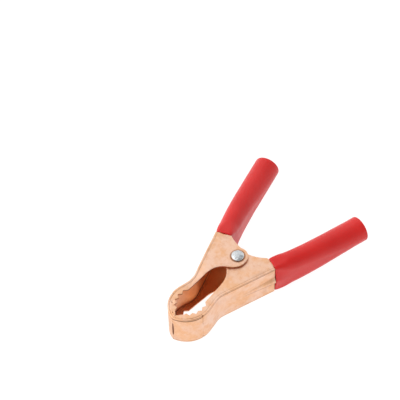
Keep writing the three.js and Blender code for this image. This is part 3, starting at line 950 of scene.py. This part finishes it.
def hammered(p):
    broad = noise.noise(Vector(p) / 1.3 + Vector((7, 3, 1)))
    fine = noise.noise(Vector(p) / 0.55 + Vector((1, 9, 4)))
    spread = 1 - HAMMER_SPREAD * broad
    return p[0] * spread, p[1] * spread, p[2] + HAMMER_BROAD * broad + HAMMER_FINE * fine - HAMMER_DROP


def make_rivet():
    rings = []
    for radius, z in rivet_profile():
        ring = [(x, y, z) for x, y in circle((0, 0), radius, RIVET_SIDES)]
        rings.append([hammered(p) for p in ring] if z > HAMMERED_FROM else ring)
    points = np.array(rings).reshape(-1, 3)
    return mesh_object("rivet_metal", points, rings_to_faces(len(rings), RIVET_SIDES), sharp_deg=50)


def spring_line(sweep, rise):
    """The wire's centreline: the coil, with a straight leg off each end of it."""
    start = -(math.pi / 2 + LEG_HEADING)
    coil_length = sweep * COIL_RADIUS
    leg = np.linspace(0.5, LEG_LENGTH, LEG_POINTS)
    line = []
    for run in (*-leg[::-1], *np.linspace(0, coil_length, COIL_POINTS), *coil_length + leg):
        turned = clamp(run / COIL_RADIUS, 0, sweep)
        angle = start - turned
        straight = run if run < 0 else max(run - coil_length, 0)
        line.append(Vector((
            COIL_RADIUS * math.cos(angle) + straight * math.sin(angle),
            COIL_RADIUS * math.sin(angle) - straight * math.cos(angle),
            MID_Z + rise * (turned / sweep - 0.5),
        )))
    return line


def make_spring():
    sweep = 2 * math.pi * (COIL_TURNS + 1) - 2 * (math.pi / 2 + LEG_HEADING)
    rise = COIL_PITCH * sweep / (2 * math.pi)
    line = spring_line(sweep, rise)
    up = Vector((0, 0, 1))
    last = len(line) - 1
    rings = []
    for k, p in enumerate(line):
        ahead = (line[min(k + 1, last)] - line[max(k - 1, 0)]).normalized()
        across = ahead.cross(up).normalized()
        over = across.cross(ahead)
        radius = WIRE_RADIUS * (WIRE_END_SHARE if k in (0, last) else 1)
        ring = circle((0, 0), radius, WIRE_SIDES)
        rings.append([tuple(p + float(a) * across + float(b) * over) for a, b in ring])
    points = np.array(rings).reshape(-1, 3)
    faces = rings_to_faces(len(rings), WIRE_SIDES) + end_faces(len(rings), WIRE_SIDES)
    obj = mesh_object("spring_wire", points, faces, sharp_deg=50)
    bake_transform(obj)
    return obj


# ---------------------------------------------------------------- materials


class Nodes:
    """A material's shader, with short calls for the nodes that feed it. Noise scales are per metre."""

    def __init__(self, name):
        self.material = bpy.data.materials.new(name)
        self.material.use_nodes = True
        self.tree = self.material.node_tree
        self.tree.nodes.clear()
        self.shader = self.node("BsdfPrincipled", {})
        self.node("OutputMaterial", {"Surface": self.shader.outputs[0]})
        self.coords = self.node("TexCoord", {}).outputs["Object"]

    def put(self, socket, value):
        if isinstance(value, bpy.types.NodeSocket):
            self.tree.links.new(value, socket)
        else:
            socket.default_value = value

    def node(self, kind, inputs, **settings):
        """A new node with its settings, and its inputs set to numbers or linked to sockets."""
        node = self.tree.nodes.new("ShaderNode" + kind)
        for name, value in settings.items():
            setattr(node, name, value)
        for name, value in inputs.items():
            self.put(node.inputs[name], value)
        return node

    def surface(self, values):
        for name, value in values.items():
            self.put(self.shader.inputs[name], value)
        return self.material

    def noise(self, scale, detail=2.0, roughness=0.5, distortion=0.0):
        inputs = {"Scale": scale, "Detail": detail, "Roughness": roughness, "Distortion": distortion}
        return self.node("TexNoise", {"Vector": self.coords, **inputs}).outputs[0]

    def ramp(self, value, low, high, out_low=0.0, out_high=1.0):
        inputs = {"From Min": low, "From Max": high, "To Min": out_low, "To Max": out_high}
        return self.node("MapRange", {"Value": value, **inputs}).outputs[0]

    def mix(self, share, a, b):
        """Colours are (red, green, blue), or a socket."""
        a, b = ((*colour, 1) if isinstance(colour, tuple) else colour for colour in (a, b))
        return self.node("Mix", {0: share, 6: a, 7: b}, data_type="RGBA").outputs[2]

    def attribute(self, name):
        return self.node("Attribute", {}, attribute_name=name).outputs["Fac"]

    def times(self, a, b):
        return self.node("Math", {0: a, 1: b}, operation="MULTIPLY").outputs[0]

    def bump(self, height, strength, distance, normal=None):
        inputs = {"Height": height, "Strength": strength, "Distance": distance}
        if normal is not None:
            inputs["Normal"] = normal
        return self.node("Bump", inputs).outputs[0]


PINK_COPPER, ORANGE_COPPER = (0.88, 0.58, 0.43), (0.87, 0.50, 0.29)
PALE_BLOTCH, DARK_BLOTCH = (0.90, 0.61, 0.46), (0.79, 0.42, 0.23)
COPPER_GRAIN, COPPER_STAIN = (0.78, 0.43, 0.26), (0.56, 0.29, 0.16)
# A painted interreflection colour for the jaws' insides, and a painted shade colour for their lines
COPPER_PAINTED_BOUNCE, COPPER_PAINTED_SHADE = (0.88, 0.32, 0.10), (0.30, 0.105, 0.04)
PAINTED_SHADE_DEPTH = 0.85
WITHIN_DULLNESS = 1.35


def copper_material():
    """Mottled copper plate, with a redder painted interreflection and more roughness within the jaws,
    and painted shade along their lines.
    """
    m = Nodes("copper_plate")
    within = m.attribute("within")
    cloud = m.noise(130, 3, 0.55)
    blotch = m.noise(480, 4, 0.65)
    grain = m.noise(1300, 3, 0.65)
    stain_and_painted_shadow = m.noise(90, 4, 0.6, distortion=0.6)
    colour = m.mix(m.ramp(cloud, 0.4, 0.6), PINK_COPPER, ORANGE_COPPER)
    colour = m.mix(m.ramp(blotch, 0.5, 0.66, 0, 0.6), colour, PALE_BLOTCH)
    colour = m.mix(m.ramp(blotch, 0.48, 0.34, 0, 0.55), colour, DARK_BLOTCH)
    colour = m.mix(m.ramp(grain, 0.52, 0.7, 0, 0.35), colour, COPPER_GRAIN)
    colour = m.mix(m.ramp(stain_and_painted_shadow, 0.54, 0.75, 0, 0.5), colour, COPPER_STAIN)
    # Painted interreflection inside the jaws
    colour = m.mix(within, colour, COPPER_PAINTED_BOUNCE)
    # Painted shade along the seam, grooves, edges and round the rivet
    colour = m.mix(m.times(m.attribute("crease"), PAINTED_SHADE_DEPTH), colour, COPPER_PAINTED_SHADE)
    satin = m.ramp(m.noise(320, 3, 0.6), 0.3, 0.7, 0.34, 0.48)
    fine = m.bump(m.noise(2200, 2, 0.6), 0.25, 0.04 * MM)
    return m.surface({
        "Base Color": colour,
        "Metallic": 1.0,
        "Roughness": m.times(satin, m.ramp(within, 0, 1, 1, WITHIN_DULLNESS)),
        "Normal": m.bump(m.noise(240, 2, 0.5), 0.35, 0.25 * MM, fine),
    })


def bare_metal(name, pale, dark, cloud_scale, gloss_scale, gloss, grain):
    """Bright metal whose colour and gloss vary, with a fine grain."""
    m = Nodes(name)
    scale, detail, strength, depth = grain
    return m.surface({
        "Base Color": m.mix(m.ramp(m.noise(cloud_scale, 3, 0.6), 0.35, 0.65), pale, dark),
        "Metallic": 1.0,
        "Roughness": m.ramp(m.noise(gloss_scale, 3, 0.6), 0.3, 0.7, *gloss),
        "Normal": m.bump(m.noise(scale, detail, 0.6), strength, depth * MM),
    })


RED, BRIGHT_RED, WORN_RED = (0.64, 0.010, 0.008), (0.73, 0.016, 0.013), (0.70, 0.08, 0.07)
VINYL_SCATTER = (0.004, 0.0006, 0.0004)


def vinyl_material():
    m = Nodes("red_vinyl")
    colour = m.mix(m.ramp(m.noise(60, 2, 0.5), 0.3, 0.7), RED, BRIGHT_RED)
    colour = m.mix(m.ramp(m.noise(1800, 2, 0.7), 0.62, 0.8, 0, 0.35), colour, WORN_RED)
    fine = m.bump(m.noise(1600, 2, 0.5), 0.2, 0.05 * MM)
    return m.surface({
        "Base Color": colour,
        "Specular IOR Level": 0.4,
        "Subsurface Weight": 0.2,
        "Subsurface Radius": VINYL_SCATTER,
        "Subsurface Scale": 0.5,
        "Roughness": m.ramp(m.noise(400, 3, 0.6), 0.3, 0.7, 0.3, 0.42),
        "Normal": m.bump(m.noise(130, 2, 0.5), 0.3, 0.4 * MM, fine),
    })


CARD_GREYS = ((0.15, 0.15, 0.15), (0.17, 0.17, 0.17))
CARD_GLOW = 0.95


def floor_material():
    """Pale card on a light table, so it is lit from below as well."""
    m = Nodes("floor_card")
    return m.surface({
        "Base Color": m.mix(m.ramp(m.noise(900, 2, 0.5), 0.3, 0.7), *CARD_GREYS),
        "Roughness": 0.9,
        "Specular IOR Level": 0.1,
        "Emission Color": (1, 1, 1, 1),
        "Emission Strength": CARD_GLOW,
    })


# ---------------------------------------------------------------- the clip

COPPER = copper_material()
ZINC = bare_metal(
    "zinc_plate", pale=(0.70, 0.72, 0.73), dark=(0.50, 0.53, 0.55),
    cloud_scale=600, gloss_scale=900, gloss=(0.16, 0.36), grain=(1300, 3, 0.5, 0.06),
)
STEEL = bare_metal(
    "spring_steel", pale=(0.42, 0.41, 0.39), dark=(0.30, 0.285, 0.27),
    cloud_scale=500, gloss_scale=1500, gloss=(0.25, 0.45), grain=(3000, 2, 0.4, 0.03),
)
VINYL = vinyl_material()


def finish_piece(obj, material, node, body=None):
    obj.data.materials.append(material)
    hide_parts(node)
    if body:
        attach(obj, body)


for jaw_side in (OUTER, INNER):
    jaw_name, jaw_body = NAMES[jaw_side], BODIES[jaw_side]
    finish_piece(make_jaw(jaw_side), COPPER, jaw_name, jaw_body)
    finish_piece(make_sleeve(jaw_side), VINYL, jaw_name + "_sleeve", jaw_body)
finish_piece(make_rivet(), ZINC, "pivot_rivet", BODIES[INNER])
# The spring's blend has already put it on both bodies
finish_piece(make_spring(), STEEL, "torsion_spring")

# ---------------------------------------------------------------- floor, light and camera

# Lengths here are metres
FLOOR_HALF = 2.5
KEY_AT, KEY_TARGET = (-0.45, 0.4, 0.7), (0, 0, 0.01)
KEY_SIZE, KEY_POWER = 1.1, 4
# The studio is bright all round but for an open, darker side, with its edges in degrees off its middle
DARK_SIDE = Vector((-0.15, -0.55, 0.82))
DARK_EDGES = (25, 72)
DARK_STRENGTH, BRIGHT_STRENGTH = 0.4, 1.1

CAMERA_DISTANCE = 0.7
CAMERA_AZIMUTH = math.radians(-49.2)
CAMERA_ELEVATION = math.radians(54.8)
# The camera's distance is from this point on the pivot's axis, which is right of and below the
# picture's middle by these slopes
PIVOT_TOP = Vector((0, 0, 18.5 * MM))
PIVOT_RIGHT = math.tan(math.radians(1.344))
PIVOT_DOWN = math.tan(math.radians(2.05))
SENSOR_MM, LENS_MM = 36, 144.6
CLIP_NEAR, CLIP_FAR = 0.01, 20


def make_floor():
    mesh = bpy.data.meshes.new("floor")
    corners = [(x * FLOOR_HALF, y * FLOOR_HALF, 0) for x, y in ((-1, -1), (1, -1), (1, 1), (-1, 1))]
    mesh.from_pydata(corners, [], [(0, 1, 2, 3)])
    floor = bpy.data.objects.new("floor", mesh)
    bpy.context.scene.collection.objects.link(floor)
    mesh.materials.append(floor_material())


def make_key_light():
    data = bpy.data.lights.new("key", "AREA")
    data.size = KEY_SIZE
    data.energy = KEY_POWER
    light = bpy.data.objects.new("key", data)
    bpy.context.scene.collection.objects.link(light)
    light.location = KEY_AT
    light.rotation_euler = (Vector(KEY_TARGET) - Vector(KEY_AT)).to_track_quat("-Z", "Y").to_euler()


def make_world():
    """A pale studio that is open and darker on the side where the photographer stands."""
    world = bpy.data.worlds.new("studio")
    world.use_nodes = True
    tree = world.node_tree
    background = tree.nodes["Background"]
    coords = tree.nodes.new("ShaderNodeTexCoord")
    dot = tree.nodes.new("ShaderNodeVectorMath")
    dot.operation = "DOT_PRODUCT"
    dot.inputs[1].default_value = DARK_SIDE.normalized()
    tree.links.new(coords.outputs["Generated"], dot.inputs[0])
    fade = tree.nodes.new("ShaderNodeMapRange")
    fade.interpolation_type = "SMOOTHSTEP"
    fade.inputs["From Min"].default_value = math.cos(math.radians(DARK_EDGES[1]))
    fade.inputs["From Max"].default_value = math.cos(math.radians(DARK_EDGES[0]))
    fade.inputs["To Min"].default_value = BRIGHT_STRENGTH
    fade.inputs["To Max"].default_value = DARK_STRENGTH
    tree.links.new(dot.outputs["Value"], fade.inputs["Value"])
    tree.links.new(fade.outputs[0], background.inputs["Strength"])
    background.inputs["Color"].default_value = (1, 1, 1, 1)
    bpy.context.scene.world = world


def make_camera():
    data = bpy.data.cameras.new("camera")
    data.sensor_width = SENSOR_MM
    data.lens = LENS_MM
    data.clip_start, data.clip_end = CLIP_NEAR, CLIP_FAR
    camera = bpy.data.objects.new("camera", data)
    bpy.context.scene.collection.objects.link(camera)
    a, e = CAMERA_AZIMUTH, CAMERA_ELEVATION
    back = Vector((math.sin(a) * math.cos(e), -math.cos(a) * math.cos(e), math.sin(e)))
    camera.location = PIVOT_TOP + CAMERA_DISTANCE * back
    towards_pivot = (-back).to_track_quat("-Z", "Y")
    pivot_in_view = Vector((PIVOT_RIGHT, -PIVOT_DOWN, -1))
    turn = pivot_in_view.rotation_difference(Vector((0, 0, -1)))
    camera.rotation_euler = (towards_pivot @ turn).to_euler()
    bpy.context.scene.camera = camera


make_floor()
make_world()
make_key_light()
make_camera()
bpy.context.scene.view_settings.view_transform = "Standard"
